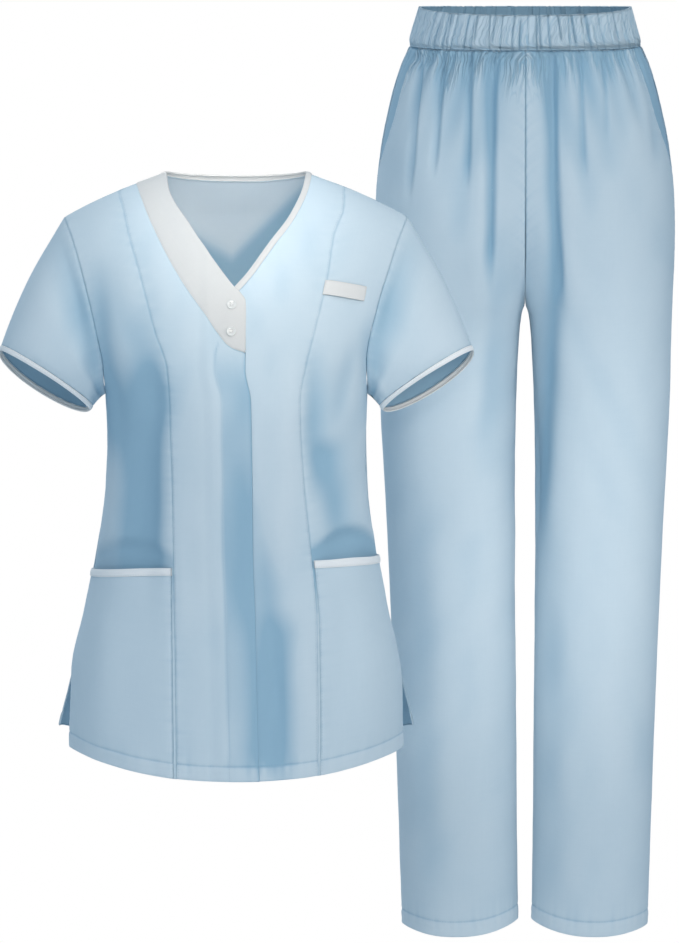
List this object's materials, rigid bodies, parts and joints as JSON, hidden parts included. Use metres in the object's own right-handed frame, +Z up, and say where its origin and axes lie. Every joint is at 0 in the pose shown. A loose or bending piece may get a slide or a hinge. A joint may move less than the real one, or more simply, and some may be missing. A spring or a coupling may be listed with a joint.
{
  "type": "medical scrubs",
  "caption": "Medical scrubs: a short-sleeved top with a V neck, contrasting trim, patch pockets and side vents, and straight trousers with a gathered elastic waist.",
  "frame": {"origin": "Where the wearer's shoulders hold up the top: midway between its two shoulder points by the neck, on the line of the shoulder seams. The trousers stand behind and beside it on their own waist, as a set shown together.", "axes": "+Z up; the garments face -Y; the wearer's right is -X and left is +X"},
  "size_m": [0.7446, 0.4643, 1.0252],
  "materials": {
    "blue_poplin": "pale blue woven poplin, matt with a slight sheen",
    "white_poplin": "white woven trim, matt",
    "button_plastic": "white polished resin"
  },
  "bodies": {
    "root": {"front_side_right": "blue_poplin", "front_centre_right": "blue_poplin", "front_centre_left": "blue_poplin", "front_side_left": "blue_poplin", "back": "blue_poplin", "sleeve_right": "blue_poplin", "sleeve_left": "blue_poplin", "pocket_right": "blue_poplin", "pocket_left": "blue_poplin", "front_leg_right": "blue_poplin", "front_leg_left": "blue_poplin", "back_leg_right": "blue_poplin", "back_leg_left": "blue_poplin", "pocket_facing_right": "blue_poplin", "pocket_facing_left": "blue_poplin", "waistband": "blue_poplin", "neck_band": "white_poplin", "neck_binding": "white_poplin", "cuff_band_right": "white_poplin", "cuff_band_left": "white_poplin", "pocket_band_right": "white_poplin", "pocket_band_left": "white_poplin", "chest_tab": "white_poplin", "button_upper": "button_plastic", "button_lower": "button_plastic"}
  },
  "joints": []
}
